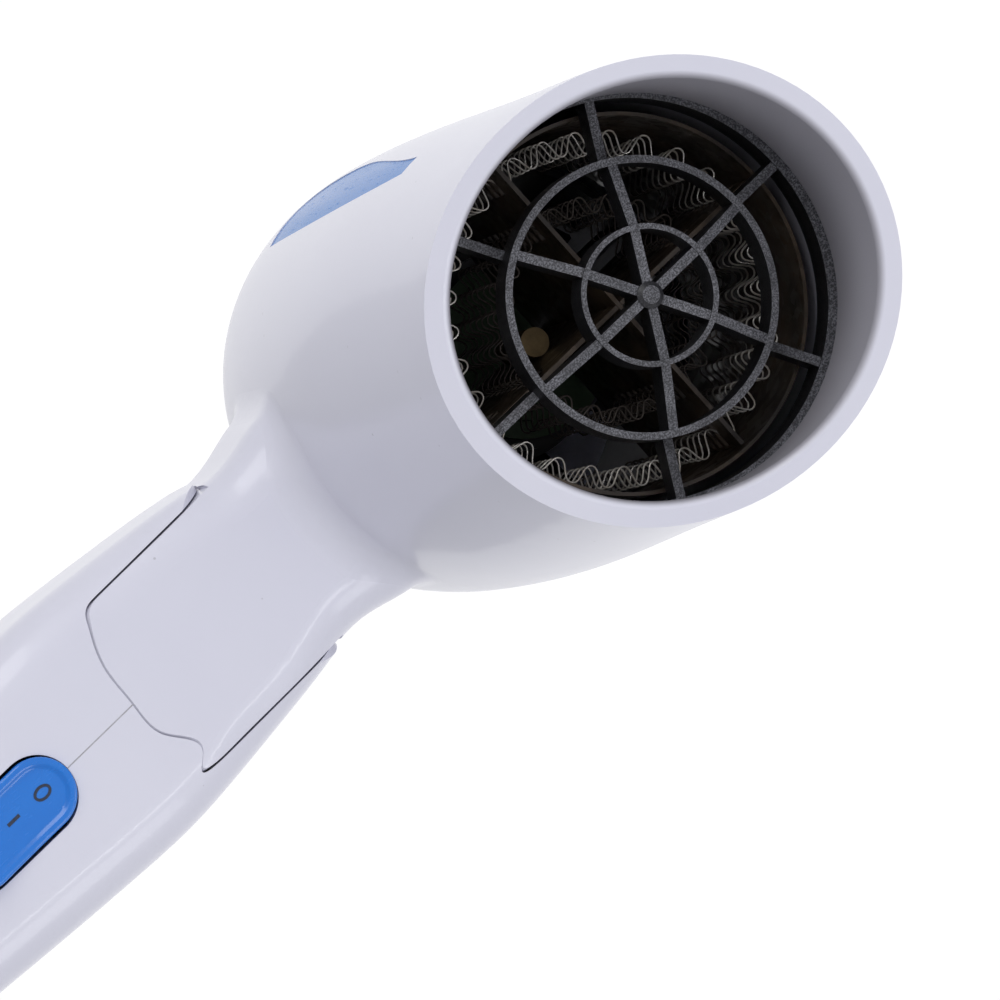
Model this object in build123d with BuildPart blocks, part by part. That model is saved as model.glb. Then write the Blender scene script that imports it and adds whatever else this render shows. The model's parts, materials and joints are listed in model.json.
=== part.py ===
"""Folding hair dryer: barrel with neck, heater, fan and motor, and a handle that folds on two ears.

Row frame in millimetres: +X along the barrel towards the outlet, +Z up, +Y the left side.
The origin lies on the barrel axis at the lowest point of the slanted outlet lip.
"""

import os
from math import cos, pi, radians, sin

from build123d import *

os.makedirs("parts", exist_ok=True)

# ---- driving dimensions -------------------------------------------------------------------------
WALL = 2.2                    # plastic wall of the handle and neck
GAP = 0.3                     # space between pieces that move past each other

LIP_SLANT = 0.32              # forward run of the lip per unit of height
MOUTH_R = 26.9                # outlet bore
LIP_R = 29.9                  # outside of the lip
LIP_MID_X = LIP_SLANT * MOUTH_R
LIP_ROUND = 1.0
BORE_R = 28.4                 # inside of the barrel at the grille's seat
BORE_START = -4.6             # where that wider bore begins
SEAT_BACK = -10.5             # where the grille's seat ends
DROP = 3.0                    # the rear of the barrel, the fan and the motor lie this much below the outlet axis
CAP_X = -113.0                # seam between barrel and rear cap
CAP_R = 24.2
REAR_X = -121.5
# round barrel sections: x, outside radius, height of the centre
BARREL_SECTIONS = [(LIP_MID_X + 16, 29.0, 0.0), (LIP_MID_X, LIP_R, 0.0), (-5, 30.3, -0.8), (-30, 31.2, -2.2),
                   (-56, 31.9, -DROP), (-80, 31.6, -DROP), (-97, 30.0, -DROP), (-107, 27.3, -DROP),
                   (CAP_X, CAP_R, -DROP)]

GRILLE_FRONT = 1.7            # front of the hub and the small ring
GRILLE_RING_FRONT = -1.5      # front of the large ring
GRILLE_BACK = -9.4
SMALL_RING = (8.66, 9.41)     # inner and outer radius
LARGE_RING = (17.70, 18.70)
SPOKES = 6

ACCENT_LOWER = [(-27.5, -5.8), (-52.0, -9.6), (-84.0, -11.0)]                 # (x, z) in side view
ACCENT_UPPER = [(-84.0, -11.0), (-86.5, -4.5), (-72.0, 1.0), (-50.0, -0.2), (-27.5, -2.6)]
ACCENT_INSET = 0.15           # the panel sits this much below the skin
ACCENT_DEPTH = 1.0

SLEEVE_FRONT = -9.6           # mica sleeve around the heater
SLEEVE_BACK = -60.0
BOARD_BACK = -49.0
COIL_ROWS = (-17.0, -25.0, -33.0, -41.0)
NOTCH_ROWS = [COIL_ROWS[0] - 8.0 * turn / 3 for turn in range(10)]     # the boards have three notches per row
SLEEVE_R = 25.4
WIRE_THICK = 0.8
COIL_OUTER = (20.8, 24.0)     # inner and outer reach of the corrugated wire
COIL_INNER = (12.8, 15.4)
MOTOR_R = 13.8
MOTOR_FRONT = -54.0
MOTOR_BACK = -82.0
SHAFT_R = 1.15
SHROUD_FRONT = -66.0
SHROUD_BACK = -94.5
FAN_FRONT = -84.4
FAN_BACK = -93.4
FAN_R = 26.2
BLADES = 7

HANDLE_X = -77.0              # handle column and fold pivot, along the barrel
PIVOT_Z = -57.5
KNUCKLE_R = 21.4              # reach of the knuckle below the pivot
KNUCKLE_HALF = 13.8           # half its width
EAR_R = 13.3
EAR_INNER = KNUCKLE_HALF + GAP
EAR_SWEEP = 13.0              # height over the pivot that the folding ears sweep in front of it
NECK_BLEND = 6.0              # fillet between neck and barrel
STUB_R = 5.95                 # hollow hinge stub on each ear
HANDLE_END = -150.0

SWITCH_TOP = -87.0
SWITCH_LENGTH = 22.0
SWITCH_WIDTH = 10.4
SWITCH_Z = SWITCH_TOP - SWITCH_LENGTH / 2
ROCK = 4.5                    # degrees the cap leans each way from its middle position

# height, half depth along X, half width along Y
NECK_LEVELS = [(-88, 14.8, 18.3), (-78, 14.4, 18.6), (-68, 13.8, 17.9), (-58, 13.3, 16.8), (-50, 13.2, 15.5),
               (-45, 13.2, 14.4), (-40, 13.3, 14.4), (-33, 14.7, 15.9), (-24, 18.8, 20.6)]
DUCT_LEVELS = [(-82, 13.2, 15.0), (-70, 13.2, 15.0), (-58, 13.2, 15.0), (-46, 13.2, 15.0), (-39, 13.6, 15.3),
               (-32, 15.0, 16.6), (-24, 15.4, 17.0)]
HANDLE_LEVELS = [(-41, 13.2, 14.9), (-49, 13.2, 15.6), (-58, 13.3, 16.8), (-68, 13.8, 17.9), (-78, 14.4, 18.6),
                 (-88, 14.8, 18.3), (-98, 15.0, 17.7), (-108, 14.8, 17.0), (-118, 14.5, 16.3), (-129, 14.1, 15.7),
                 (-140, 13.7, 15.2), (HANDLE_END, 13.3, 14.8)]
CORNER = 0.5                  # corner radius of the sections as a share of their half depth


# ---- shared shapes ------------------------------------------------------------------------------
def radial_plane(angle):
    """Plane through the barrel axis: local x runs along it and local y points outwards at this angle."""
    a = radians(angle)
    return Plane(origin=(0, 0, 0), x_dir=(1, 0, 0), z_dir=(0, -sin(a), cos(a)))


def column(levels, inset=0.0):
    """Smooth column through rounded sections at the heights of the handle and neck."""
    with BuildPart() as body:
        for z, depth, width in levels:
            with BuildSketch(Plane.XY.offset(z)):
                with Locations((HANDLE_X, 0)):
                    RectangleRounded(2 * (depth - inset), 2 * (width - inset), CORNER * (depth - inset))
        loft()
    return body.part


def turned(points, arc=360):
    """Solid turned about the barrel axis from (x, radius) corners."""
    with BuildPart() as body:
        with BuildSketch(radial_plane(90)):
            with BuildLine():
                Polyline(points, close=True)
            make_face()
        revolve(axis=Axis.X, revolution_arc=arc)
    return body.part


def pivot_disc(radius, y_low, y_high):
    """Round disc about the fold pivot between two sideways positions."""
    with BuildPart() as body:
        with BuildSketch(Plane(origin=(HANDLE_X, y_low, PIVOT_Z), x_dir=(1, 0, 0), z_dir=(0, 1, 0))):
            Circle(radius)
        extrude(amount=y_high - y_low)
    return body.part


def knuckle_envelope(grow):
    """Solid of revolution about the pivot that bounds the knuckle, its rim rounded towards the ears."""
    reach, half = KNUCKLE_R + grow, KNUCKLE_HALF + grow
    with BuildPart() as body:
        with BuildSketch(Plane(origin=(HANDLE_X, 0, PIVOT_Z), x_dir=(0, 1, 0), z_dir=(-1, 0, 0))):
            with BuildLine():
                Line((-half, 0), (-half, 0.76 * reach))
                Spline((-half, 0.76 * reach), (-0.82 * half, 0.905 * reach), (-0.42 * half, 0.985 * reach), (0, reach),
                       (0.42 * half, 0.985 * reach), (0.82 * half, 0.905 * reach), (half, 0.76 * reach),
                       tangents=((0, 1), (0, -1)))
                Line((half, 0.76 * reach), (half, 0))
                Line((half, 0), (-half, 0))
            make_face()
        revolve(axis=Axis((HANDLE_X, 0, PIVOT_Z), (0, 1, 0)))
    return body.part


def barrel_body(inset=0.0):
    """Solid barrel through its round sections up to the rear cap, before the lip is cut, shrunk by an inset."""
    with BuildPart() as body:
        for x, radius, height in BARREL_SECTIONS:
            with BuildSketch(Plane.YZ.offset(x)):
                with Locations((0, height)):
                    Circle(radius - inset)
        loft()
    return body.part


def accent_shape(side, inset):
    """Leaf outline in side view, from an inset below the barrel's skin down to the panel's seat, on one side."""
    with BuildPart() as body:
        with BuildSketch(Plane(origin=(0, side * 18, 0), x_dir=(side, 0, 0), z_dir=(0, -side, 0))):
            with BuildLine():
                Spline([(side * x, z) for x, z in ACCENT_LOWER])
                Spline([(side * x, z) for x, z in ACCENT_UPPER])
                Line((side * ACCENT_UPPER[-1][0], ACCENT_UPPER[-1][1]), (side * ACCENT_LOWER[0][0], ACCENT_LOWER[0][1]))
            make_face()
        extrude(amount=-30)
        add(barrel_body(inset), mode=Mode.INTERSECT)
        add(barrel_body(ACCENT_DEPTH), mode=Mode.SUBTRACT)
    return body.part


def save(solid, node, drop=0.0):
    """Label one finished piece, lower it if asked and write it as its own file."""
    placed = solid.moved(Location((0, 0, -drop)))
    placed.label = node
    export_step(placed, f"parts/{node}.step")


# ---- barrel, neck and knuckle: one white moulding -----------------------------------------------
with BuildPart() as barrel_housing:
    add(barrel_body())
    split(bisect_by=Plane(origin=(LIP_MID_X, 0, 0), z_dir=(1, 0, -LIP_SLANT)), keep=Keep.BOTTOM)
    lip_plane_axis = Axis((0, 0, 0), (1, 0, -LIP_SLANT))
    add(turned([(LIP_MID_X + 20, 0), (LIP_MID_X + 20, MOUTH_R), (-2, MOUTH_R), (BORE_START, BORE_R),
                (SEAT_BACK, BORE_R), (SEAT_BACK, 0)]), mode=Mode.SUBTRACT)
    fillet(barrel_housing.faces().sort_by(lip_plane_axis)[-1].edges(), LIP_ROUND)
    with BuildPart(mode=Mode.PRIVATE) as neck:
        add(column(NECK_LEVELS))
        with Locations((HANDLE_X, 0, PIVOT_Z - 30)):
            Box(60, 60, 60, mode=Mode.SUBTRACT)
    add(neck.part)
    fillet([edge for edge in barrel_housing.edges(Select.NEW) if edge.center().Z > -40], NECK_BLEND)
    with BuildPart(mode=Mode.PRIVATE) as knuckle:
        add(column(NECK_LEVELS))
        with Locations((HANDLE_X, 0, PIVOT_Z + 40)):
            Box(60, 60, 80, mode=Mode.SUBTRACT)
        add(knuckle_envelope(0), mode=Mode.INTERSECT)
    add(knuckle.part)
    # room for the ears, which also sweep forward past the neck's sides as the handle folds
    for side in (-1, 1):
        low, high = sorted((side * KNUCKLE_HALF, side * 30))
        add(pivot_disc(EAR_R + GAP, low, high), mode=Mode.SUBTRACT)
        with Locations((HANDLE_X + 15, (low + high) / 2, PIVOT_Z + EAR_SWEEP / 2)):
            Box(30, high - low, EAR_SWEEP, mode=Mode.SUBTRACT)
    # hollow: barrel cavity, neck duct, hinge bores and the wire slot
    with BuildPart(mode=Mode.PRIVATE) as cavity:
        add(barrel_body(WALL - 0.3))
        with Locations((SEAT_BACK + 30, 0, 0)):
            Box(60, 80, 80, mode=Mode.SUBTRACT)
    add(cavity.part, mode=Mode.SUBTRACT)
    with BuildPart(mode=Mode.PRIVATE) as duct:
        add(column(DUCT_LEVELS, WALL))
        add(knuckle_envelope(-WALL), mode=Mode.INTERSECT)
    add(duct.part, mode=Mode.SUBTRACT)
    with BuildPart(mode=Mode.PRIVATE) as riser:
        add(column(DUCT_LEVELS, WALL))
        with Locations((HANDLE_X, 0, PIVOT_Z - 30)):
            Box(60, 60, 60, mode=Mode.SUBTRACT)
    add(riser.part, mode=Mode.SUBTRACT)
    add(pivot_disc(STUB_R + 0.05, -30, 30), mode=Mode.SUBTRACT)
    with Locations((HANDLE_X, 0, PIVOT_Z - KNUCKLE_R)):
        Box(13, 9, 12, mode=Mode.SUBTRACT)
    for side in (-1, 1):
        add(accent_shape(side, -1.0), mode=Mode.SUBTRACT)
save(barrel_housing.part, "barrel_housing")

for side, node in ((-1, "accent_panel_right"), (1, "accent_panel_left")):
    with BuildPart() as accent_panel:
        add(accent_shape(side, ACCENT_INSET))
    save(accent_panel.part, node)

# ---- rear cap: domed inlet grille with rings of slots ---------------------------------------------
with BuildPart() as rear_cap:
    with BuildSketch(radial_plane(90)):
        with BuildLine():
            Spline((CAP_X, CAP_R - 0.1), (CAP_X - 5, 18.5), (REAR_X, 0), tangents=((-0.55, -1), (0, -1)))
            Line((REAR_X, 0), (REAR_X + 2, 0))
            Spline((REAR_X + 2, 0), (CAP_X - 3.2, 17.5), (CAP_X, CAP_R - 2.6), tangents=((0, 1), (0.6, 1)))
            Line((CAP_X, CAP_R - 2.6), (CAP_X, CAP_R - 0.1))
        make_face()
    revolve(axis=Axis.X)
    for ring_r, slots, slot_length in ((6.0, 6, 3.6), (10.5, 10, 4.0), (15.0, 14, 4.4), (19.0, 18, 4.4)):
        with BuildSketch(Plane.YZ.offset(CAP_X)):
            with PolarLocations(ring_r, slots):
                Rectangle(2.2, slot_length)
        extrude(amount=-20, mode=Mode.SUBTRACT)
save(rear_cap.part, "rear_cap", DROP)

with BuildPart() as inlet_screen:
    with BuildSketch(Plane.YZ.offset(CAP_X + 0.2)):
        Circle(CAP_R - 2.0)
        Circle(CAP_R - 3.6, mode=Mode.SUBTRACT)
    extrude(amount=1.0)
    with BuildSketch(Plane.YZ.offset(CAP_X + 0.4)):
        Circle(CAP_R - 3.6)
        with GridLocations(3.0, 3.0, 14, 14):
            Rectangle(2.5, 2.5, mode=Mode.SUBTRACT)
    extrude(amount=0.5)
save(inlet_screen.part, "inlet_screen", DROP)

# ---- outlet grille: hub, two rings, six spokes and a frame, one black moulding ------------------
with BuildPart() as outlet_grille:
    add(turned([(BORE_START - 0.1, MOUTH_R - 0.3), (BORE_START - 0.1, BORE_R - 0.05), (GRILLE_BACK, BORE_R - 0.05),
                (GRILLE_BACK, MOUTH_R - 0.3)]))
    for (inner, outer), front in ((SMALL_RING, GRILLE_FRONT), (LARGE_RING, GRILLE_RING_FRONT)):
        add(turned([(front, inner), (front, outer), (front - 4.6, outer), (front - 4.6, inner)]))
    add(turned([(GRILLE_FRONT + 0.5, 0), (GRILLE_FRONT + 0.5, 1.2), (GRILLE_FRONT, 1.8), (-4.0, 1.8), (-4.0, 0)]))
    for spoke in range(SPOKES):
        with BuildSketch(radial_plane(90 + 360 * spoke / SPOKES)):
            with BuildLine():
                Polyline((GRILLE_FRONT - 0.2, 0), (GRILLE_FRONT - 0.2, 9.0), (GRILLE_RING_FRONT - 0.2, 18.2),
                         (BORE_START - 0.4, 18.6), (BORE_START - 0.4, 27.4), (GRILLE_BACK + 0.6, 27.4),
                         (GRILLE_BACK + 0.6, 18.6), (-5.6, 17.6), (-2.6, 8.6), (-2.6, 0), close=True)
            make_face()
        extrude(amount=0.65, both=True)
save(outlet_grille.part, "outlet_grille")


# ---- heater: mica sleeve, crossed boards, corrugated wires, thermostat, fuse and eyelets --------
def coil_notches(reach, clearance):
    """Ring channels that the turns of a wire occupy, grown by a clearance."""
    with BuildPart() as body:
        for x in NOTCH_ROWS:
            with BuildSketch(radial_plane(90)):
                with Locations((x, sum(reach) / 2)):
                    Rectangle(WIRE_THICK + 2 * clearance, reach[1] - reach[0] + 2 * clearance)
            revolve(axis=Axis.X)
    return body.part


with BuildPart() as mica_sleeve:
    add(turned([(SLEEVE_FRONT, SLEEVE_R - 0.5), (SLEEVE_FRONT, SLEEVE_R), (SLEEVE_BACK, SLEEVE_R),
                (SLEEVE_BACK, SLEEVE_R - 0.5)]))
save(mica_sleeve.part, "mica_sleeve")

BOARD_MIDDLE = (SLEEVE_FRONT - 2.4 + BOARD_BACK) / 2
for node, across, slot_front in (("mica_board_upright", Plane.XZ, True), ("mica_board_level", Plane.XY, False)):
    with BuildPart() as mica_board:
        with BuildSketch(across):
            with Locations((BOARD_MIDDLE, 0)):
                Rectangle(SLEEVE_FRONT - 2.4 - BOARD_BACK, 2 * SLEEVE_R - 1.4)
            with Locations((BOARD_MIDDLE + (10.2 if slot_front else -10.2), 0)):
                Rectangle(20.6, 0.7, mode=Mode.SUBTRACT)
        extrude(amount=0.3, both=True)
        for reach in (COIL_OUTER, COIL_INNER):
            add(coil_notches(reach, 0.35), mode=Mode.SUBTRACT)
    save(mica_board.part, node)

for node, reach, waves in (("heater_wire_outer", COIL_OUTER, 44), ("heater_wire_inner", COIL_INNER, 30)):
    with BuildPart() as heater_wire:
        for x in COIL_ROWS:
            corners = [(r * cos(pi * step / waves), r * sin(pi * step / waves))
                       for step, r in enumerate((reach[step % 2] for step in range(2 * waves)))]
            with BuildSketch(Plane.YZ.offset(x - WIRE_THICK / 2)):
                with BuildLine():
                    Polyline(corners, close=True)
                make_face()
                with BuildLine():
                    Polyline([(y * (1 - 0.5 / reach[0]), z * (1 - 0.5 / reach[0])) for y, z in corners], close=True)
                make_face(mode=Mode.SUBTRACT)
            extrude(amount=WIRE_THICK)
    save(heater_wire.part, node)

with BuildPart() as thermostat:
    with BuildSketch(Plane.XZ.offset(-0.4)):
        with Locations((-29, 7.0)):
            RectangleRounded(13, 5.6, 1.0)
    extrude(amount=-3.2)
save(thermostat.part, "thermostat")

with BuildPart() as thermal_fuse:
    with BuildSketch(Plane.YZ.offset(-38)):
        with Locations((-2.4, -8.0)):
            Circle(2.0)
    extrude(amount=12)
save(thermal_fuse.part, "thermal_fuse")

with BuildPart() as heater_eyelets:
    for y in (8, -8, 18.5, -18.5):
        with BuildSketch(Plane.XY.offset(0.35)):
            with Locations((BOARD_BACK + 2.6, y)):
                Circle(1.4)
        extrude(amount=0.8)
save(heater_eyelets.part, "heater_eyelets")

# ---- fan and motor ------------------------------------------------------------------------------
with BuildPart() as fan_shroud:
    add(turned([(SHROUD_FRONT, 27.1), (SHROUD_FRONT, 28.2), (SHROUD_BACK, 28.2), (SHROUD_BACK, 27.1)]))
    add(turned([(SHROUD_FRONT + 2, MOTOR_R + 0.1), (SHROUD_FRONT + 2, MOTOR_R + 1.3),
                (MOTOR_BACK + 1, MOTOR_R + 1.3), (MOTOR_BACK + 1, MOTOR_R + 0.1)]))
    for vane in range(6):
        with BuildSketch(radial_plane(30 + 60 * vane)):
            with Locations((SHROUD_FRONT - 6, (MOTOR_R + 28) / 2 + 0.4)):
                Rectangle(11, 28 - MOTOR_R)
        extrude(amount=0.6, both=True)
save(fan_shroud.part, "fan_shroud", DROP)

with BuildPart() as motor_can:
    add(turned([(MOTOR_FRONT - 2, MOTOR_R - 1), (MOTOR_FRONT - 2, MOTOR_R), (MOTOR_BACK, MOTOR_R), (MOTOR_BACK, 3.2),
                (MOTOR_BACK - 1.4, 3.2), (MOTOR_BACK - 1.4, SHAFT_R + 0.04), (MOTOR_BACK + 1, SHAFT_R + 0.04),
                (MOTOR_BACK + 1, MOTOR_R - 1)]))
save(motor_can.part, "motor_can", DROP)

with BuildPart() as motor_end_cap:
    add(turned([(MOTOR_FRONT, SHAFT_R + 0.04), (MOTOR_FRONT, 4.0), (MOTOR_FRONT - 1, 4.0), (MOTOR_FRONT - 1, MOTOR_R),
                (MOTOR_FRONT - 2, MOTOR_R), (MOTOR_FRONT - 2, MOTOR_R - 1.1), (MOTOR_FRONT - 3.5, MOTOR_R - 1.1),
                (MOTOR_FRONT - 3.5, SHAFT_R + 0.04)]))
save(motor_end_cap.part, "motor_end_cap", DROP)

with BuildPart() as rectifier_board:
    with BuildSketch(Plane.YZ.offset(BOARD_BACK - 3.0)):
        Circle(12.5)
        Circle(2.2, mode=Mode.SUBTRACT)
    extrude(amount=1.2)
    with BuildSketch(Plane.YZ.offset(BOARD_BACK - 1.8)):
        with PolarLocations(8.5, 4, start_angle=45):
            RectangleRounded(3.0, 5.0, 0.8)
    extrude(amount=1.4)
save(rectifier_board.part, "rectifier_board", DROP)

with BuildPart() as motor_shaft:
    with BuildSketch(Plane.YZ.offset(FAN_BACK)):
        Circle(SHAFT_R)
    extrude(amount=MOTOR_FRONT + 0.8 - FAN_BACK)
save(motor_shaft.part, "motor_shaft", DROP)

with BuildPart() as motor_armature:
    add(turned([(MOTOR_FRONT - 8, SHAFT_R), (MOTOR_FRONT - 8, 9.6), (MOTOR_BACK + 5, 9.6), (MOTOR_BACK + 5, SHAFT_R)]))
    add(turned([(MOTOR_FRONT - 4.2, SHAFT_R), (MOTOR_FRONT - 4.2, 3.6), (MOTOR_FRONT - 8, 3.6),
                (MOTOR_FRONT - 8, SHAFT_R)]))
save(motor_armature.part, "motor_armature", DROP)

with BuildPart() as fan_impeller:
    add(turned([(FAN_FRONT, SHAFT_R), (FAN_FRONT, 9.0), (FAN_BACK + 2, 9.0), (FAN_BACK, 6.5), (FAN_BACK, SHAFT_R)]))
    for blade in range(BLADES):
        a = radians(360 * blade / BLADES)
        outward = Vector(0, cos(a), sin(a))
        with BuildPart(mode=Mode.PRIVATE) as one_blade:
            for r, pitch, chord in ((7.5, 34, 9.0), (17.0, 46, 9.6), (FAN_R, 58, 9.6)):
                middle = Vector((FAN_FRONT + FAN_BACK) / 2, 0, 0) + outward * r
                along = Vector(1, 0, 0).rotate(Axis((0, 0, 0), outward), pitch)
                with BuildSketch(Plane(origin=middle, x_dir=along, z_dir=outward)):
                    Rectangle(chord, 1.1)
            loft()
        add(one_blade.part)
save(fan_impeller.part, "fan_impeller", DROP)

with BuildPart() as head_leads:
    for y in (-2.4, 0.0, 2.4):
        with BuildLine():
            lead = Polyline((HANDLE_X, y, PIVOT_Z - 8), (HANDLE_X, y, -42), (HANDLE_X + 7, y, -33.8))
        with BuildSketch(Plane(origin=lead @ 0, z_dir=lead % 0)):
            Circle(0.9)
        sweep(transition=Transition.RIGHT)
save(head_leads.part, "head_leads")

# ---- handle: two shells split down the middle, each with a hinge ear ------------------------------
SCREW_SPOTS = ((HANDLE_X - 8.6, -86.0), (HANDLE_X - 8.4, -126.0))     # (x, z), screws run sideways
SCREW_HEAD_R = 2.8
SCREW_SHANK_R = 1.4
BUSH_R = 5.4
BUSH_BORE_R = 3.6
BUSH_LENGTH = 14.0


def handle_solid(inset):
    """Handle column below the ears together with the round ears."""
    with BuildPart() as body:
        add(column(HANDLE_LEVELS, inset))
        with BuildPart(mode=Mode.PRIVATE) as above:
            with Locations((HANDLE_X, 0, PIVOT_Z - 4.0 + 40)):
                Box(80, 80, 80)
            add(pivot_disc(EAR_R - inset, -30, 30), mode=Mode.SUBTRACT)
        add(above.part, mode=Mode.SUBTRACT)
    return body.part


def switch_outline(grow):
    """Capsule prism of the switch opening, pointing forwards out of the handle."""
    with BuildPart() as body:
        with BuildSketch(Plane(origin=(HANDLE_X, 0, SWITCH_Z), x_dir=(0, 0, 1), z_dir=(1, 0, 0))):
            SlotOverall(SWITCH_LENGTH + 2 * grow, SWITCH_WIDTH + 2 * grow)
        extrude(amount=30)
    return body.part


with BuildPart() as handle_whole:
    add(handle_solid(0))
    fillet(handle_whole.edges().group_by(Axis.Z)[0], 3.5)
    with BuildPart(mode=Mode.PRIVATE) as hollow:
        add(handle_solid(WALL))
        with Locations((HANDLE_X, 0, HANDLE_END)):
            Box(60, 60, 2 * WALL + 2.4, mode=Mode.SUBTRACT)
        # a curved bulkhead closes the handle just below the knuckle
        add(knuckle_envelope(GAP + 1.8), mode=Mode.SUBTRACT)
        for side in (-1, 1):
            low, high = sorted((side * (EAR_INNER - 0.2), side * 30))
            with Locations((HANDLE_X, (low + high) / 2, PIVOT_Z)):
                Box(60, high - low, 50, mode=Mode.SUBTRACT)
    add(hollow.part, mode=Mode.SUBTRACT)
    # room for the knuckle, then the neck above it
    add(knuckle_envelope(GAP), mode=Mode.SUBTRACT)
    with Locations((HANDLE_X, 0, PIVOT_Z + 20)):
        Box(60, 2 * EAR_INNER, 52, mode=Mode.SUBTRACT)
    # hinge stubs, the wire slot, the switch opening and the cord bush seat
    for side in (-1, 1):
        low, high = sorted((side * 9.0, side * (EAR_INNER + 0.5)))
        add(pivot_disc(STUB_R, low, high))
        low, high = sorted((side * 8.0, side * (EAR_INNER + 0.8)))
        add(pivot_disc(STUB_R - 1.6, low, high), mode=Mode.SUBTRACT)
    with Locations((HANDLE_X, 0, PIVOT_Z - KNUCKLE_R - 1)):
        Box(9, 7, 8, mode=Mode.SUBTRACT)
    add(switch_outline(0.45), mode=Mode.SUBTRACT)
    with BuildSketch(Plane.XY.offset(HANDLE_END - 1)):
        with Locations((HANDLE_X, 0)):
            Circle(BUSH_R)
    extrude(amount=12, mode=Mode.SUBTRACT)
    # screw posts from both sides, bored for the screws that enter from the left
    for x, z in SCREW_SPOTS:
        with BuildSketch(Plane(origin=(x, -13.5, z), x_dir=(1, 0, 0), z_dir=(0, 1, 0))):
            Circle(SCREW_SHANK_R + 2.0)
        extrude(amount=27)
        with BuildSketch(Plane(origin=(x, -11.0, z), x_dir=(1, 0, 0), z_dir=(0, 1, 0))):
            Circle(SCREW_SHANK_R + 0.06)
        extrude(amount=40, mode=Mode.SUBTRACT)
        with BuildSketch(Plane(origin=(x, 11.6, z), x_dir=(1, 0, 0), z_dir=(0, 1, 0))):
            Circle(SCREW_HEAD_R + 0.2)
        extrude(amount=20, mode=Mode.SUBTRACT)

for side, node in ((-1, "handle_shell_right"), (1, "handle_shell_left")):
    with BuildPart() as handle_shell:
        add(handle_whole.part)
        split(bisect_by=Plane(origin=(0, 0, 0), z_dir=(0, side, 0)), keep=Keep.TOP)
    save(handle_shell.part, node)

with BuildPart() as handle_screws:
    for x, z in SCREW_SPOTS:
        with BuildSketch(Plane(origin=(x, 11.6, z), x_dir=(1, 0, 0), z_dir=(0, 1, 0))):
            Circle(SCREW_HEAD_R)
        extrude(amount=1.8)
        with BuildSketch(Plane(origin=(x, 13.4, z), x_dir=(1, 0, 0), z_dir=(0, 1, 0))):
            Rectangle(3.4, 0.7)
            Rectangle(0.7, 3.4)
        extrude(amount=-0.9, mode=Mode.SUBTRACT)
        with BuildSketch(Plane(origin=(x, 11.6, z), x_dir=(1, 0, 0), z_dir=(0, 1, 0))):
            Circle(SCREW_SHANK_R)
        extrude(amount=-21)
save(handle_screws.part, "handle_screws")

# ---- switch: rocking cap over a switch body ---------------------------------------------------
FACE_X = HANDLE_X + 15.0      # front of the handle at the switch
ROCKER_PIN = (FACE_X - 3.2, SWITCH_Z)
PIN_R = 1.0
with BuildPart() as switch_cap:
    with BuildSketch(Plane(origin=(FACE_X - 1.3, 0, SWITCH_Z), x_dir=(0, 0, 1), z_dir=(1, 0, 0))):
        SlotOverall(SWITCH_LENGTH, SWITCH_WIDTH)
    extrude(amount=2.9)
    # the top is a shallow saddle, higher at both ends
    with BuildSketch(Plane(origin=(0, -20, 0), x_dir=(1, 0, 0), z_dir=(0, -1, 0))):
        with Locations((FACE_X + 61.0, SWITCH_Z)):
            Circle(60.4)
    extrude(amount=-40, mode=Mode.SUBTRACT)
    with Locations((FACE_X - 3.2, 0, SWITCH_Z)):
        Box(4.4, 5.6, 3.0)
    with BuildSketch(Plane(origin=(ROCKER_PIN[0], -4.4, ROCKER_PIN[1]), x_dir=(1, 0, 0), z_dir=(0, 1, 0))):
        Circle(PIN_R)
    extrude(amount=8.8)
switch_rocker = switch_cap.part.rotate(Axis((ROCKER_PIN[0], 0, ROCKER_PIN[1]), (0, 1, 0)), -ROCK)
save(switch_rocker, "switch_rocker")

with BuildPart() as switch_body:
    with BuildSketch(Plane(origin=(FACE_X - 18.0, 0, SWITCH_Z), x_dir=(0, 0, 1), z_dir=(1, 0, 0))):
        RectangleRounded(21.0, 12.0, 0.8)
    extrude(amount=11.5)
    for side in (-1, 1):
        with BuildSketch(Plane(origin=(0, side * 3.1, SWITCH_Z), x_dir=(1, 0, 0), z_dir=(0, side, 0))):
            with Locations((FACE_X - 4.7, 0)):
                Rectangle(6.2, 5.0)
            with Locations((ROCKER_PIN[0], 0)):
                Circle(PIN_R + 0.05, mode=Mode.SUBTRACT)
        extrude(amount=1.4)
    for z in (-6.5, 0.0, 6.5):
        with Locations((FACE_X - 19.9, 0, SWITCH_Z + z)):
            Box(4.4, 3.2, 0.8)
save(switch_body.part, "switch_body")

# ---- cord entry, clamp and mains parts --------------------------------------------------------
with BuildPart() as cord_bush:
    with BuildSketch(Plane.XY.offset(HANDLE_END)):
        with Locations((HANDLE_X, 0)):
            Circle(BUSH_R - 0.05)
    extrude(amount=BUSH_LENGTH)
    with BuildSketch(Plane.XY.offset(HANDLE_END + 5.0)):
        with Locations((HANDLE_X, 0)):
            Circle(BUSH_R + 1.4)
    extrude(amount=2.0)
    with BuildSketch(Plane.XY.offset(HANDLE_END)):
        with Locations((HANDLE_X, 0)):
            Circle(BUSH_BORE_R)
    extrude(amount=BUSH_LENGTH, mode=Mode.SUBTRACT)
save(cord_bush.part, "cord_bush")

with BuildPart() as suppressor_capacitor:
    with Locations((HANDLE_X + 2.5, 0, -123.5)):
        Box(6.0, 11.0, 13.0)
    fillet(suppressor_capacitor.edges(), 0.8)
save(suppressor_capacitor.part, "suppressor_capacitor")

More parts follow.
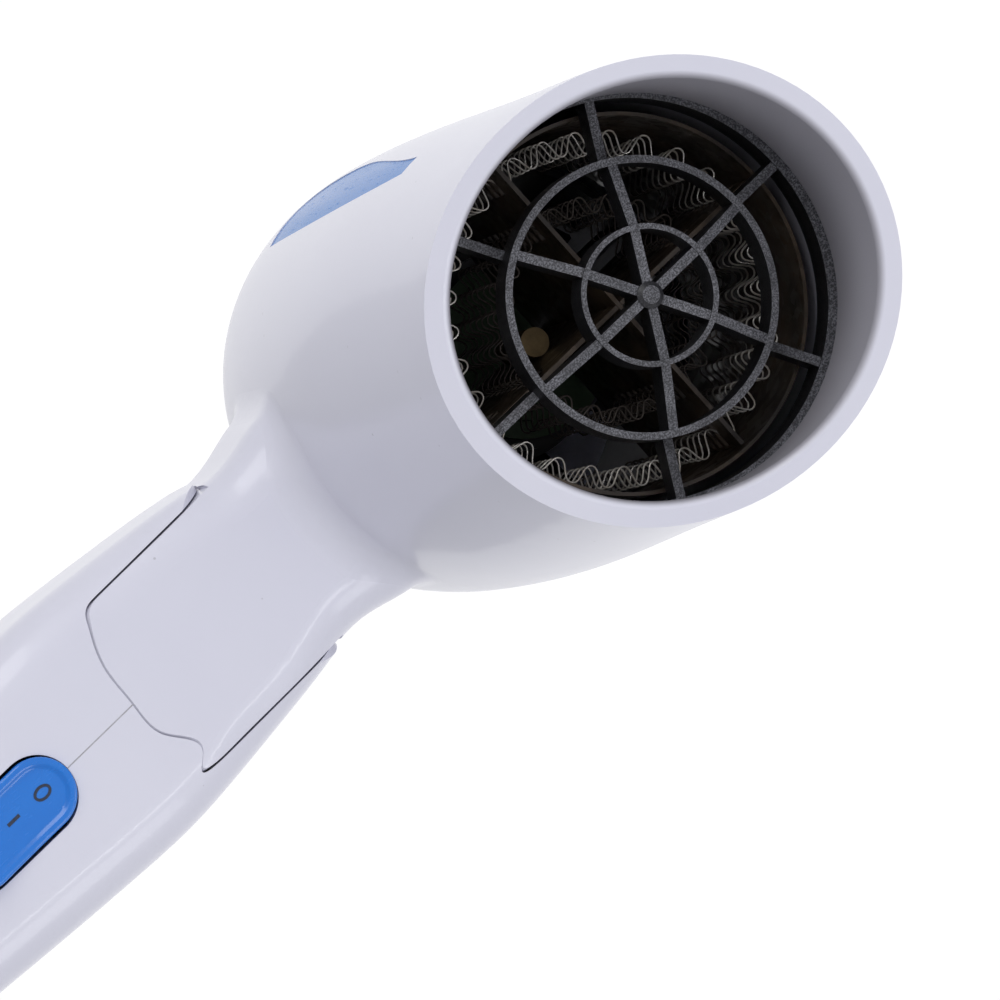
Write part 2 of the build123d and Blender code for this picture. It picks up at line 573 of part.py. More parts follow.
with BuildPart() as handle_leads:
    for y in (-2.2, 2.2):
        for corners in (((HANDLE_X + 2.0, -82.0), (HANDLE_X + 2.0, -87.4)),
                        ((HANDLE_X - 2.6, -135.2), (HANDLE_X - 2.6, -116.0), (HANDLE_X - 5.4, -110.0),
                         (HANDLE_X - 5.4, -105.6))):
            with BuildLine():
                lead = Polyline([(x, y, z) for x, z in corners])
            with BuildSketch(Plane(origin=lead @ 0, z_dir=lead % 0)):
                Circle(0.9)
            sweep(transition=Transition.RIGHT)
save(handle_leads.part, "handle_leads")
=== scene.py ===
# %% [markdown]
# # A folding hair dryer, seen into its outlet
# The CAD model already holds every hard piece in its real place. This lesson dresses it: it loads the
# frame, sets the camera and the studio, writes one finish for each kind of material, makes the crimped
# heater wire, the rocker's cap and its marks as meshes, and hands each piece to the body it moves with.

# %% Load the frame
import json

import bmesh
import bpy
import numpy as np
from mathutils import Matrix, Vector


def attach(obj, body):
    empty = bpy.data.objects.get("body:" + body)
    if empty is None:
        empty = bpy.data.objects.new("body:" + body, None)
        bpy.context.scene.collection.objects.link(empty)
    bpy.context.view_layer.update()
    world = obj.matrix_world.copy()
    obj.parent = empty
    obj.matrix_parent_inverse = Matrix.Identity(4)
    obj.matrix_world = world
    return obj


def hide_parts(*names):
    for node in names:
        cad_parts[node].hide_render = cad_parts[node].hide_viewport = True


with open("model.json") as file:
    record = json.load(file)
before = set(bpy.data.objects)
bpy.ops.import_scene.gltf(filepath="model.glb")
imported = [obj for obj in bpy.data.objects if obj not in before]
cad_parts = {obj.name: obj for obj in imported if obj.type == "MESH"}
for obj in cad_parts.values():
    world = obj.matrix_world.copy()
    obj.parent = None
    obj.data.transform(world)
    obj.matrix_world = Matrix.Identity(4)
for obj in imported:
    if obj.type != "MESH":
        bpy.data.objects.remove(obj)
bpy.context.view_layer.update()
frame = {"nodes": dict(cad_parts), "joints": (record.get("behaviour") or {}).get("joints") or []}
nodes = frame["nodes"]
joints = {joint["name"]: joint for joint in frame["joints"]}
MM = 0.001

# %% [markdown]
# ## Camera
# A long lens, a metre away, looks slightly upwards into the outlet. A camera could be aimed with a tracking
# constraint, but that leaves its roll open. Its local axes are right, up and backwards, so three unit
# vectors, set side by side as columns, are its whole rotation, and the roll is in them.

# %% Camera
EYE = (0.94814, -0.13014, -0.28504)
RIGHT = np.array((0.279675, 0.662791, 0.694615))
UP = np.array((0.073249, -0.736107, 0.672890))
BACK = np.cross(RIGHT, UP)
SENSOR_MM, LENS_MM = 36.0, 275.8
NEAREST, FARTHEST = 0.05, 20.0

camera = bpy.data.objects.new("camera", bpy.data.cameras.new("camera"))
bpy.context.scene.collection.objects.link(camera)
turned = Matrix(np.stack((RIGHT, UP, BACK), axis=1).tolist()).to_4x4()
camera.matrix_world = Matrix.Translation(EYE) @ turned
camera.data.sensor_width = SENSOR_MM
camera.data.lens = LENS_MM
camera.data.clip_start, camera.data.clip_end = NEAREST, FARTHEST
bpy.context.scene.camera = camera
print("camera looks along", np.round(-BACK, 3))

# %% [markdown]
# ## Shader maths as plain expressions
# A node tree is a drawing of a formula, and a formula is easier to read as one. `Value` wraps the output of
# a node, and its operators add the Math nodes. `Desk` is one tree being written: its `node` method adds any
# other node, sets its settings first, and then fills or links its sockets.

# %% Values
class Value:
    """The output of a node, usable in arithmetic. Each operator adds one Math node."""

    def __init__(self, desk, socket):
        self.desk, self.socket = desk, socket

    def maths(self, operation, first, second=0.0):
        return self.desk.node("ShaderNodeMath", {"operation": operation}, {0: first, 1: second})

    def __add__(self, other):
        return self.maths("ADD", self, other)

    def __mul__(self, other):
        return self.maths("MULTIPLY", self, other)

    def __sub__(self, other):
        return self.maths("SUBTRACT", self, other)

    def __rsub__(self, other):
        return self.maths("SUBTRACT", other, self)

    def __abs__(self):
        return self.maths("ABSOLUTE", self)

    __radd__, __rmul__ = __add__, __mul__

    def ramp(self, low, high):
        """0 below low, 1 above high, and a smooth S between them."""
        return self.desk.node("ShaderNodeMapRange", {"interpolation_type": "SMOOTHSTEP"},
                              {0: self, 1: low, 2: high})


# %% Desks
class Desk:
    """One node tree being written."""

    def __init__(self, tree):
        self.tree = tree
        tree.nodes.clear()

    def node(self, kind, settings=None, sockets=None, out=0):
        """A new node's output, or None for a tree's last node, which has no output of its own."""
        made = self.tree.nodes.new(kind)
        for key, value in (settings or {}).items():
            setattr(made, key, value)
        for key, value in (sockets or {}).items():
            if isinstance(value, Value):
                self.tree.links.new(value.socket, made.inputs[key])
            else:
                made.inputs[key].default_value = value
        return Value(self, made.outputs[out]) if len(made.outputs) else None

    def place(self):
        """Object coordinates, in metres."""
        return self.node("ShaderNodeTexCoord", out="Object")

    def parts_of(self, vector):
        """The x, y and z of a vector, as three values."""
        return [self.node("ShaderNodeSeparateXYZ", None, {0: vector}, out=axis) for axis in range(3)]

    def noise(self, grain, detail=3.0, stretch=(1, 1, 1)):
        """Noise from 0 to 1 whose lumps are about `grain` millimetres across, stretched along the axes."""
        spot = self.node("ShaderNodeVectorMath", {"operation": "MULTIPLY"},
                         {0: self.place(), 1: [1.0 / share for share in stretch]})
        return self.node("ShaderNodeTexNoise", None,
                         {"Vector": spot, "Scale": 1.0 / (grain * MM), "Detail": detail})

    def from_axis(self):
        """Distance from the barrel's axis, in millimetres: the length of the place with its x taken out."""
        flat = self.node("ShaderNodeVectorMath", {"operation": "MULTIPLY"},
                         {0: self.place(), 1: (0.0, 1.0 / MM, 1.0 / MM)})
        return self.node("ShaderNodeVectorMath", {"operation": "LENGTH"}, {0: flat}, out="Value")

    def cells(self, grain, out="Distance"):
        """Voronoi cells about `grain` millimetres apart: the distance to the nearest centre, or a colour."""
        return self.node("ShaderNodeTexVoronoi", None,
                         {"Vector": self.place(), "Scale": 1.0 / (grain * MM)}, out=out)

    def mix(self, share, first, second):
        """The first colour where share is 0 and the second where it is 1."""
        return self.node("ShaderNodeMix", {"data_type": "RGBA"},
                         {0: share, 6: colour(first), 7: colour(second)}, out=2)


def colour(value):
    """A colour link as it is, or a triple of linear numbers with its alpha added."""
    return value if isinstance(value, Value) else (*value, 1.0)


# %% Finishes
BUMP_STRENGTH = 0.6


def finish(name, write, **constants):
    """A material: `write` returns what varies over the surface, and constants go straight on the shader.

    A "height" in what varies is a pair, a relief from 0 to 1 and its depth in millimetres.
    """
    material = bpy.data.materials.new(name)
    material.use_nodes = True
    desk = Desk(material.node_tree)
    varying = write(desk)
    if "height" in varying:
        relief, depth = varying.pop("height")
        varying["Normal"] = desk.node("ShaderNodeBump", None, {"Strength": BUMP_STRENGTH,
                                                               "Distance": depth * MM, "Height": relief})
    shader = desk.node("ShaderNodeBsdfPrincipled", None, {**varying, **constants})
    desk.node("ShaderNodeOutputMaterial", None, {"Surface": shader})
    return material


print("ready to write finishes")

# %% [markdown]
# ## World
# A white product on a white ground needs a room that is not white all round, or it loses its shape. A plain
# world colour would do just that, so this one is bright behind the dryer and greyer behind the camera, and
# the mix follows the direction looked in.

# %% World
FAR_WHITE, NEAR_GREY = (1.02, 1.02, 1.03), (0.67, 0.673, 0.70)
GREY_UNTIL, WHITE_FROM = 0.45, 0.95

world = bpy.data.worlds.new("studio")
bpy.context.scene.world = world
world.use_nodes = True
sky = Desk(world.node_tree)
direction = sky.node("ShaderNodeTexCoord", out="Generated")
ahead = sky.node("ShaderNodeVectorMath", {"operation": "DOT_PRODUCT"}, {0: direction, 1: list(-BACK)},
                 out="Value")
glow = sky.mix(ahead.ramp(GREY_UNTIL, WHITE_FROM), NEAR_GREY, FAR_WHITE)
sky.node("ShaderNodeOutputWorld", None,
         {"Surface": sky.node("ShaderNodeBackground", None, {"Color": glow, "Strength": 1.0})})
bpy.context.scene.view_settings.view_transform = "Standard"
print("world is", FAR_WHITE, "ahead of the camera and", NEAR_GREY, "behind it")

# %% [markdown]
# ## Soft boxes
# Gloss plastic shows its shape by long pale streaks, and each streak is a light's reflection. Five
# rectangular lights, placed by how far right, up and back of the dryer they stand, give a broad key, a fill
# from below, two thin strips that run along the handle, and one small square.

# %% Soft boxes
MIDDLE = np.array((-0.045, 0.0, -0.04))
PURE_WHITE, FAINT_BLUE = (1, 1, 1), (0.97, 0.98, 1.0)


def softbox(name, right, up, back, size, watts, tint=PURE_WHITE):
    """A rectangular light at so many metres right, up and back of the dryer, as the camera sees it."""
    spot = MIDDLE + right * RIGHT + up * UP + back * BACK
    lamp = bpy.data.lights.new(name, "AREA")
    lamp.shape, (lamp.size, lamp.size_y) = "RECTANGLE", size
    lamp.energy, lamp.color = watts, tint
    holder = bpy.data.objects.new(name, lamp)
    holder.location = spot
    holder.rotation_mode = "QUATERNION"
    holder.rotation_quaternion = Vector(MIDDLE - spot).to_track_quat("-Z", "Y")
    holder.visible_camera = False
    bpy.context.scene.collection.objects.link(holder)
    print("soft box", name, "at", np.round(spot, 2))


softbox("key", -0.5, 0.75, 0.75, (0.8, 0.6), 4.0)
softbox("low_fill", 0.75, -0.6, 0.5, (0.5, 0.6), 2.0, FAINT_BLUE)
softbox("strip", -0.75, -0.15, 0.75, (0.10, 0.5), 0.8)
softbox("streak", 0.64, -0.09, 0.62, (0.06, 0.5), 0.5)
softbox("window", -0.22, 0.35, 1.0, (0.10, 0.07), 0.5)

# %% [markdown]
# ## Meshes from arrays
# Every new surface is a grid of points: one parameter runs along it and the other goes across or round it.
# `grid_faces` joins neighbouring points with four-sided faces by index arithmetic, for the whole array at
# once, and `carried` takes a flat profile along a path. Curve objects with a bevel could make the wires, but
# on a grid every point is known, so turns can be kept in step.

# %% Grids
def grid_faces(rows, columns, loop, ring=True):
    """Faces of a rows by columns grid. Its columns close round if ring is true, and its rows if loop is."""
    i, j = np.meshgrid(np.arange(rows if loop else rows - 1), np.arange(columns if ring else columns - 1),
                       indexing="ij")
    after, right = (i + 1) % rows, (j + 1) % columns
    corners = (i * columns + j, after * columns + j, after * columns + right, i * columns + right)
    return np.stack(corners, axis=-1).reshape(-1, 4)


def carried(path, profile, up, loop):
    """Points of a profile carried along a path.

    The tangent is the path's gradient, side = tangent x up, and a point is path + side * a + up * b.
    """
    if loop:
        tangent = np.roll(path, -1, axis=0) - np.roll(path, 1, axis=0)
    else:
        tangent = np.gradient(path, axis=0)
    side = np.cross(tangent, up)
    side /= np.linalg.norm(side, axis=1, keepdims=True)
    up = np.broadcast_to(up, side.shape)
    return path[:, None] + side[:, None] * profile[None, :, :1] + up[:, None] * profile[None, :, 1:]


def round_profile(radius, sides):
    """A circle of points: (r cos a, r sin a)."""
    a = np.linspace(0, 2 * np.pi, sides, endpoint=False)
    return radius * np.stack((np.cos(a), np.sin(a)), axis=1)


def mesh_of(name, points, faces, material, smooth):
    """A mesh from an array of points in millimetres and a list of faces, in one material."""
    mesh = bpy.data.meshes.new(name)
    mesh.from_pydata((points * MM).tolist(), [], faces)
    mesh.polygons.foreach_set("use_smooth", np.full(len(mesh.polygons), smooth))
    mesh.materials.append(material)
    return mesh


# %% Pieces
MERGE_WITHIN = 0.002


def add_piece(name, strands, material, body, replaced=(), smooth=True):
    """One object from several (points, ends) grids, riding on body. Ends are "looped", "capped" or "shrunk".

    A looped grid closes on itself, a capped one gets a face at both ends, and a shrunk one has a last row
    that lies on a line, which merging coincident points closes. Then the normals are turned outwards.
    """
    points, faces, start = [], [], 0
    for grid, ends in strands:
        rows, columns = grid.shape[:2]
        faces += (grid_faces(rows, columns, ends == "looped") + start).tolist()
        if ends != "looped":
            faces.append(list(range(start + columns - 1, start - 1, -1)))
        if ends == "capped":
            faces.append(list(range(start + (rows - 1) * columns, start + rows * columns)))
        points.append(grid.reshape(-1, 3))
        start += rows * columns
    mesh = mesh_of(name, np.concatenate(points), faces, material, smooth)
    shell = bmesh.new()
    shell.from_mesh(mesh)
    bmesh.ops.remove_doubles(shell, verts=shell.verts, dist=MERGE_WITHIN * MM)
    bmesh.ops.recalc_face_normals(shell, faces=shell.faces)
    shell.to_mesh(mesh)
    shell.free()
    mesh.update()
    piece = bpy.data.objects.new(name, mesh)
    bpy.context.scene.collection.objects.link(piece)
    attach(piece, body)
    if replaced:
        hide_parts(*replaced)
    print(name, len(mesh.polygons), "faces")


# %% [markdown]
# ## Floor
# Studio paper, flat under the dryer and rising gently towards its edges, so that light comes back from it on
# all sides. It lies well below the dryer, under the camera's own height, so it stays out of the low view.

# %% Floor
PAPER_DARK, PAPER_PALE = (0.52, 0.52, 0.53), (0.58, 0.58, 0.59)
FLOOR_Z, FLOOR_REACH, FLOOR_POINTS = -330.0, 1500.0, 33
FLAT_SHARE, EDGE_RISE = 0.75, 220.0


def paper_writing(desk):
    tone = desk.noise(40.0, 2.0) * 0.6 + desk.noise(2.0) * 0.4
    return {"Base Color": desk.mix(tone, PAPER_DARK, PAPER_PALE), "Roughness": 0.75 + 0.1 * tone,
            "height": (desk.noise(0.8), 0.05)}


share = np.linspace(-1, 1, FLOOR_POINTS)
u, v = np.meshgrid(share, share, indexing="ij")
rise = EDGE_RISE * np.clip(np.hypot(u, v) - FLAT_SHARE, 0, None) ** 2
sheet = np.stack((u * FLOOR_REACH, v * FLOOR_REACH, FLOOR_Z + rise), axis=-1).reshape(-1, 3)
floor = bpy.data.objects.new("floor", mesh_of(
    "floor", sheet, grid_faces(FLOOR_POINTS, FLOOR_POINTS, False, ring=False).tolist(),
    finish("studio_paper", paper_writing), True))
bpy.context.scene.collection.objects.link(floor)
print("floor at", FLOOR_Z, "mm")

# %% [markdown]
# ## White shell
# Gloss ABS is not a flat white. The moulding cools unevenly, so it has broad cloudy patches a few per cent
# apart, a very fine orange-peel relief, and a few grey dust specks that show because everything else is
# clean. It is slightly blue. A thin clear coat carries the sharp streaks and the base the soft ones. The
# bore in front of the grille is duller, and painted shade greys it, darker deep in than at the lip. The
# handle's two halves touch, so their parting line is a hairline of dirt in the finish and not a gap between
# meshes.

# %% White shell
SHELL_DEEP, SHELL_PALE, SHELL_DIRT = (0.69, 0.69, 0.785), (0.74, 0.74, 0.825), (0.22, 0.21, 0.22)
# Painted shade inside the bore: its grey deep in and its lighter grey at the lip.
BORE_SHADE_DEEP, BORE_SHADE_LIP = (0.15, 0.142, 0.157), (0.345, 0.337, 0.375)
BORE_R, BORE_BLUR = 26.9, 1.0
BORE_FROM, BORE_FULL = -30.0, -20.0
LIP_FROM, LIP_FULL = -8.0, 12.0
SEAM_HALF, SEAM_EDGE = 0.05, 0.13
COATED = {"Coat Weight": 0.35, "Coat Roughness": 0.07}


def shell_writing(parting):
    """The writing of the white plastic, with the handle's parting line if parting is 1 and not if it is 0."""
    def write(desk):
        x, y, _ = desk.parts_of(desk.place())
        cloud, grain = desk.noise(28.0, 2.0), desk.noise(0.9, 2.0)
        inside = 1 - desk.from_axis().ramp(BORE_R, BORE_R + BORE_BLUR)
        bore = inside * x.ramp(BORE_FROM * MM, BORE_FULL * MM)
        # Painted shade: the bore's colour goes greyer the deeper in it lies. Its higher roughness is real.
        shaded = desk.mix(x.ramp(LIP_FROM * MM, LIP_FULL * MM), BORE_SHADE_DEEP, BORE_SHADE_LIP)
        white = desk.mix(bore * (1 - 0.15 * cloud), desk.mix(cloud, SHELL_DEEP, SHELL_PALE), shaded)
        speck = (1 - desk.cells(3.1).ramp(0.045, 0.075)) * desk.noise(9.0, 1.0).ramp(0.58, 0.66)
        seam = (1 - abs(y).ramp(SEAM_HALF * MM, SEAM_EDGE * MM)) * parting
        dirt = speck * 0.35 + seam * (0.45 + 0.5 * grain)
        return {"Base Color": desk.mix(dirt, white, SHELL_DIRT),
                "Roughness": 0.23 + 0.14 * cloud + 0.05 * grain + 0.25 * bore,
                "height": (grain * 0.7 + cloud * 0.3 - seam * 4.0, 0.012)}
    return write


white_shell = finish("white_shell", shell_writing(0.0), **COATED)
white_handle = finish("white_handle", shell_writing(1.0), **COATED)
print("bore aged inside a radius of", BORE_R, "mm")

# %% [markdown]
# ## Black grille
# The grille is glass-filled nylon. Its faces that look forwards are speckled where the mould was
# spark-eroded, and are painted a lighter grey, painted light on the faces turned towards the lamps, while
# the sides of the ribs are nearly black and shinier. Two materials would need the faces sorted, so one finds
# the front faces by their normal's x, since the outlet points along +X.

# %% Black grille
# The two pale tones for the forward faces are painted light. The pits are the real texture.
LIT_FACE_DARK, LIT_FACE_PALE, PIT = (0.040, 0.040, 0.046), (0.20, 0.202, 0.225), (0.008, 0.008, 0.010)
RIB_DARK, RIB_PALE = (0.005, 0.005, 0.006), (0.014, 0.014, 0.017)
FRONT_FROM, FRONT_FULL = 0.72, 0.93


def grille_writing(desk):
    facing = desk.parts_of(desk.node("ShaderNodeNewGeometry", out="Normal"))[0]
    front = facing.ramp(FRONT_FROM, FRONT_FULL)
    speckle = desk.noise(0.22, 2.0).ramp(0.40, 0.66)
    pits = 1 - desk.cells(0.45).ramp(0.10, 0.22)
    patch = desk.noise(4.0, 3.0).ramp(0.3, 0.75)
    # Painted light: the forward faces get a lighter grey speckle over the real pits.
    lit = desk.mix(pits * 0.7, desk.mix(speckle, LIT_FACE_DARK, LIT_FACE_PALE), PIT)
    side = desk.mix(desk.noise(1.2), RIB_DARK, RIB_PALE)
    return {"Base Color": desk.mix(front * (0.62 + 0.38 * patch), side, lit),
            "Roughness": 0.34 + 0.26 * front + 0.08 * speckle,
            "height": (speckle - pits * 0.8, 0.03)}


black_grille = finish("black_grille", grille_writing)
print("grille worn where its normal's x is over", FRONT_FROM)

# %% [markdown]
# ## Blue pieces
# The side accents are a satin blue, and the rocker is a deeper blue with a high polish under a clear coat.
# Both get flow marks, long faint streaks made by stretching the noise along the piece, and hairline rubs.

# %% Blue trim and switch
TRIM_DEEP, TRIM_PALE, ALONG_BARREL = (0.03, 0.18, 0.55), (0.09, 0.27, 0.63), (6, 1, 1)
ROCKER_DEEP, ROCKER_PALE, ALONG_HANDLE = (0.0, 0.155, 0.62), (0.004, 0.21, 0.74), (1, 1, 4)


def blue_writing(deep, pale, stretch):
    """The writing of a blue plastic between two tones, with flow marks stretched along some axis."""
    def write(desk):
        flow = desk.noise(5.0, 3.0, stretch)
        rub = desk.noise(0.5, 2.0, stretch).ramp(0.60, 0.72)
        return {"Base Color": desk.mix(flow * 0.8 + rub * 0.12, deep, pale),
                "Roughness": 0.17 + 0.13 * flow + 0.12 * rub,
                "height": (desk.noise(0.7, 2.0) + rub * 0.4, 0.010)}
    return write


blue_trim = finish("blue_trim", blue_writing(TRIM_DEEP, TRIM_PALE, ALONG_BARREL),
                   **{"Specular IOR Level": 0.12})
switch_blue = finish("switch_blue", blue_writing(ROCKER_DEEP, ROCKER_PALE, ALONG_HANDLE),
                     **{"Coat Weight": 0.5, "Coat Roughness": 0.05})
print("blue finishes written")

# %% [markdown]
# ## Mica and heater wire
# Mica laminate is brown flakes pressed in a resin: cells of slightly different tones under a varnish that
# has scorched in patches. The wire is bright and straw-stained at the outlet, and its deeper turns and the
# inner winding are darkened with painted shade. One finish does both, because it follows the place along
# the axis and the distance from it.

# %% Mica and heater wire
FLAKE_DEEP, FLAKE_PALE, SCORCH = (0.046, 0.030, 0.018), (0.088, 0.060, 0.038), (0.020, 0.013, 0.009)
# The darkest wire tone is painted shade for the deep turns and the inner winding. The straw tone is a real
# stain.
WIRE_BRIGHT, WIRE_STRAW, WIRE_IN_SHADE = (0.80, 0.77, 0.72), (0.46, 0.38, 0.30), (0.055, 0.044, 0.036)
UNSHADED_FROM, UNSHADED_FULL = -36.0, -15.0
INNER_R, OUTER_R = 15.0, 21.0


def mica_writing(desk):
    flake = desk.parts_of(desk.cells(1.6, "Color"))[0]
    scorch = desk.noise(9.0, 4.0).ramp(0.35, 0.7)
    return {"Base Color": desk.mix(scorch, desk.mix(flake, FLAKE_DEEP, FLAKE_PALE), SCORCH),
            "Roughness": 0.34 + 0.3 * flake, "Coat Weight": 0.25 * flake,
            "height": (flake + desk.noise(0.4) * 0.4, 0.04)}


def wire_writing(desk):
    """Bright wire at the outlet, darkened by painted shade the deeper its turn lies and the nearer the axis
    it is.
    """
    depth = desk.parts_of(desk.place())[0].ramp(UNSHADED_FROM * MM, UNSHADED_FULL * MM)
    # Painted shade: the wire's colour, and its metal with it, darken deeper in the bore and nearer the axis.
    unshaded = depth * desk.from_axis().ramp(INNER_R, OUTER_R)
    stain = desk.noise(2.5, 3.0).ramp(0.3, 0.75)
    bright = desk.mix(stain * 0.55, WIRE_BRIGHT, WIRE_STRAW)
    return {"Base Color": desk.mix(unshaded, WIRE_IN_SHADE, bright), "Metallic": 0.35 + 0.6 * unshaded,
            "Roughness": 0.24 + 0.3 * stain, "height": (desk.noise(0.3), 0.008)}


mica, nichrome = finish("mica", mica_writing), finish("nichrome", wire_writing)
print("wire brightens from", UNSHADED_FROM, "to", UNSHADED_FULL, "mm")

# %% [markdown]
# ## Metals and dull plastics
# The motor, the board, the leads and the screws are mostly out of sight, but a spread view shows them. They
# need few differences, so two writings cover them all: a metal with fine scratches and dull patches, and a
# moulded or dipped surface with a broad tone and a fine grain.

# %% Metals and dull plastics
def metal_writing(low, high, grain, rough, stretch=(1, 1, 1), tint=None):
    """The writing of a bare metal between two tones, scratched along the stretched axis."""
    def write(desk):
        line = desk.noise(grain, 3.0, stretch)
        dull = desk.noise(grain * 12, 3.0).ramp(0.35, 0.75)
        tone = desk.mix(line, low, high)
        if tint:
            tone = desk.mix(dull * 0.6, tone, tint)
        return {"Base Color": tone, "Metallic": 1.0 - 0.12 * dull,
                "Roughness": rough + 0.12 * line + 0.16 * dull, "height": (line, 0.01)}
    return write


def plastic_writing(low, high, grain, rough, depth=0.02):
    """The writing of a dull moulded or dipped surface between two tones, with a grain in millimetres."""
    def write(desk):
        broad, fine = desk.noise(grain * 10, 3.0), desk.noise(grain, 3.0)
        return {"Base Color": desk.mix(broad * 0.6 + fine * 0.4, low, high),
                "Roughness": rough + 0.15 * fine, "height": (fine, depth)}
    return write


METALS = {
    "steel": ((0.50, 0.50, 0.51), (0.66, 0.66, 0.67), 0.3, 0.24, (8, 1, 1)),
    "brass": ((0.20, 0.14, 0.07), (0.34, 0.25, 0.13), 0.4, 0.34, (1, 1, 1), (0.10, 0.07, 0.04)),
    "copper": ((0.52, 0.20, 0.09), (0.78, 0.38, 0.20), 0.3, 0.26, (1, 8, 8)),
}
PLASTICS = {
    "fan_plastic": ((0.012, 0.012, 0.014), (0.030, 0.030, 0.034), 0.5, 0.38),
    "board": ((0.030, 0.065, 0.028), (0.060, 0.11, 0.045), 0.6, 0.42),
    "wire_sleeve": ((0.38, 0.030, 0.024), (0.52, 0.055, 0.040), 0.4, 0.42),
    "black_rubber": ((0.018, 0.018, 0.019), (0.042, 0.042, 0.044), 0.35, 0.55, 0.03),
    "capacitor": ((0.50, 0.34, 0.05), (0.66, 0.46, 0.08), 0.6, 0.3),
}
hidden_finishes = {name: finish(name, metal_writing(*tones)) for name, tones in METALS.items()}
hidden_finishes.update({name: finish(name, plastic_writing(*tones)) for name, tones in PLASTICS.items()})
print(len(hidden_finishes), "finishes for hidden pieces")

# %% [markdown]
# ## Dressing the CAD nodes
# A CAD node comes with a plain material. Each finish is handed to its own nodes, and the node's mesh is
# otherwise left alone. The heater wires aren't in the table, because new pieces stand in for them.

# %% Dressing the CAD nodes
DRESS = (
    (white_shell, ("barrel_housing", "rear_cap")),
    (white_handle, ("handle_shell_left", "handle_shell_right")),
    (black_grille, ("outlet_grille", "inlet_screen")),
    (blue_trim, ("accent_panel_left", "accent_panel_right")),
    (switch_blue, ("switch_rocker",)),
    (mica, ("mica_sleeve", "mica_board_upright", "mica_board_level")),
    (hidden_finishes["steel"], ("motor_can", "motor_shaft", "handle_screws", "thermostat")),
    (hidden_finishes["brass"], ("heater_eyelets", "thermal_fuse")),
    (hidden_finishes["copper"], ("motor_armature",)),
    (hidden_finishes["fan_plastic"], ("fan_shroud", "fan_impeller", "motor_end_cap")),
    (hidden_finishes["board"], ("rectifier_board",)),
    (hidden_finishes["wire_sleeve"], ("head_leads", "handle_leads")),
    (hidden_finishes["black_rubber"], ("cord_bush", "switch_body")),
    (hidden_finishes["capacitor"], ("suppressor_capacitor",)),
)
for material, dressed in DRESS:
    for name in dressed:
        nodes[name].data.materials.clear()
        nodes[name].data.materials.append(material)
print(sum(len(dressed) for _, dressed in DRESS), "CAD nodes dressed")

# %% [markdown]
# ## Crimped heater wire
# The heater is one fine wire crimped into waves and wound round the crossed mica boards, ten turns to a
# winding. Looked at from the outlet, each turn shows behind the last, so the waves nest. A turn is a circle
# whose radius swings between two limits: r = middle + swing * wave, where a plain wave is a sine. A wide,
# rounded wave comes from pushing the sine towards its limits with tanh. Each turn is closed on itself, since
# the step from one turn to the next would hide between the boards.

# %% Heater wire
FIRST_TURN, TURN_COUNT, TURN_PITCH = -17.0, 10, 8.0 / 3
STRAND_R, STRAND_SIDES, POINTS_A_WAVE = 0.145, 6, 14
WIDENING, UNEVEN, BUNCHING, SWAY = 1.3, 0.06, 0.5, 0.1
ALONG_AXIS = np.array((1.0, 0, 0))


def winding(inner, outer, waves, seed):
    """All turns of one winding: closed strands, in step, with a small seeded wander of their wave height."""
    random = np.random.default_rng(seed)
    angle = np.linspace(0, 2 * np.pi, waves * POINTS_A_WAVE, endpoint=False)
    wave = np.tanh(WIDENING * np.sin(waves * angle + BUNCHING * np.sin(2 * angle))) / np.tanh(WIDENING)
    strands = []
    for turn_x in FIRST_TURN - np.arange(TURN_COUNT) * TURN_PITCH:
        start = random.uniform(0, 2 * np.pi)
        swing = (outer - inner) / 2 - STRAND_R - UNEVEN * (1 + np.sin(3 * angle + start))
        radius = (inner + outer) / 2 + swing * wave
        x = turn_x + SWAY * np.sin(5 * angle + start)
        path = np.stack((x, radius * np.cos(angle), radius * np.sin(angle)), axis=1)
        strands.append((carried(path, round_profile(STRAND_R, STRAND_SIDES), ALONG_AXIS, True), "looped"))
    return strands


add_piece("crimped_wire_outer", winding(20.8, 24.0, 30, 5), nichrome, "head",
          ("heater_wire_outer",))
add_piece("crimped_wire_inner", winding(12.8, 15.4, 22, 6), nichrome, "head",
          ("heater_wire_inner",))

# %% [markdown]
# ## Rocker cap
# The rocker is a capsule in plan. A narrow raised rim with a rounded edge goes round a sunk face, and the
# whole top rises to both ends. One parameter runs round the capsule's outline, and the other steps inwards
# from the foot of its side, over the rim, down its slope and across the face until the outline has shrunk to
# a line. The joint's own place gives the pin, so the cap stays on it if the CAD moves.

# %% Rocker cap's outline
PIN = np.array(joints["switch_rock"]["pos_m"]) / MM
ARC_R, ARC_RISE, TIP = 60.4, 3.8, np.radians(-4.5)
CAP_HALF_LENGTH, CAP_HALF_WIDTH, CAP_FOOT = 10.98, 5.18, 1.95
END_POINTS, SIDE_POINTS = 25, 13


def tipped(x, across, along):
    """Points given from the pin: x forwards, across and along the switch, turned with the rocker."""
    return np.stack((PIN[0] + x * np.cos(TIP) + along * np.sin(TIP), across + 0 * x,
                     PIN[2] - x * np.sin(TIP) + along * np.cos(TIP)), axis=-1)


def rim_height(along):
    """The rim's height over the pin: an arc of radius ARC_R along the switch."""
    return ARC_RISE + ARC_R - np.sqrt(ARC_R ** 2 - along ** 2)


reach = CAP_HALF_LENGTH - CAP_HALF_WIDTH
half_turn = np.linspace(0, np.pi, END_POINTS)
run = np.linspace(reach, -reach, SIDE_POINTS + 2)[1:-1]
turn = np.concatenate((half_turn, np.full(SIDE_POINTS, np.pi),
                       np.pi + half_turn, np.full(SIDE_POINTS, 2 * np.pi)))
centre = np.concatenate((np.full(END_POINTS, reach), run, np.full(END_POINTS, -reach), -run))
print("rocker outline of", len(turn), "points round the pin at", np.round(PIN, 2))

# %% Rocker cap's steps inwards
RIM_ROUND, RIM_WIDTH, SLOPE, SUNK = 0.5, 0.9, 0.8, 0.38
FACE_FROM = 2.2
ROUND_STEPS, SLOPE_STEPS, FACE_STEPS = 8, 9, 7

